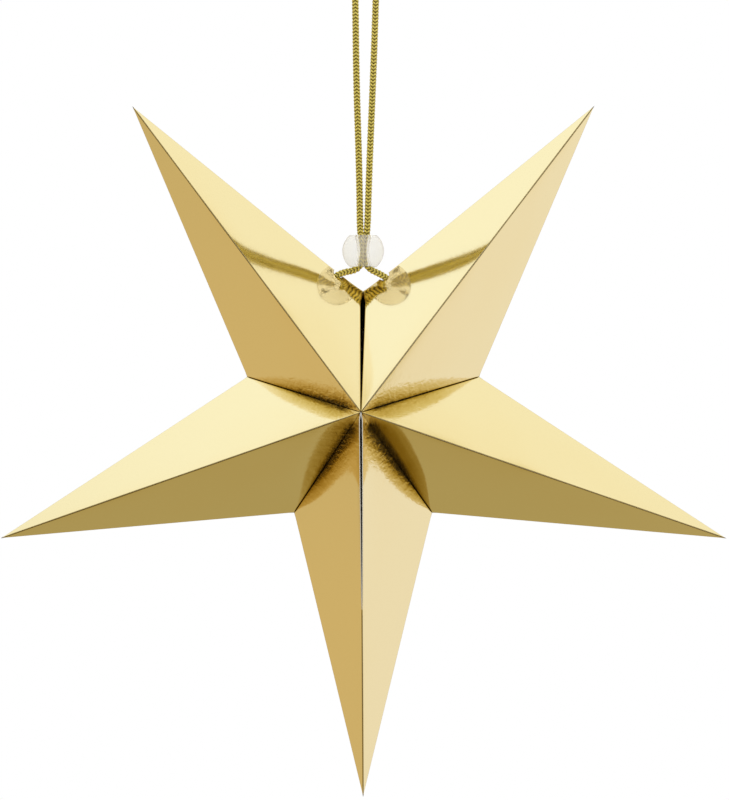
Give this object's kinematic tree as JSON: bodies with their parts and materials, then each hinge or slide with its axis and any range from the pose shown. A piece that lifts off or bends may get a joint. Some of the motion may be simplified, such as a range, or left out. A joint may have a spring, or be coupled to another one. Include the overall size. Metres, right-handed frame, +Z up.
{
  "type": "hanging origami star",
  "caption": "Hanging star of hollow pointed arms folded from gold foil card, glued flank to flank, on a braided cord loop with a clear sliding bead.",
  "frame": {"origin": "the underside of the top of the cord loop, where it bears on its hook", "axes": "+Z up along the hanging cord, the front of the star faces -Y, +X to the right as seen from the front"},
  "size_m": [0.2982, 0.1028, 0.3685],
  "materials": {
    "foil_card": "metallic gold foil on the outside, cream card inside and at the cut edges",
    "braided_cord": "braided metallic gold thread",
    "clear_bead": "clear, slightly milky moulded plastic, glossy"
  },
  "bodies": {
    "root": {"arm_bottom": "foil_card", "arm_right": "foil_card", "arm_upper_right": "foil_card", "arm_upper_left": "foil_card", "arm_left": "foil_card", "hanging_cord": "braided_cord", "slide_bead": "clear_bead"}
  },
  "joints": []
}
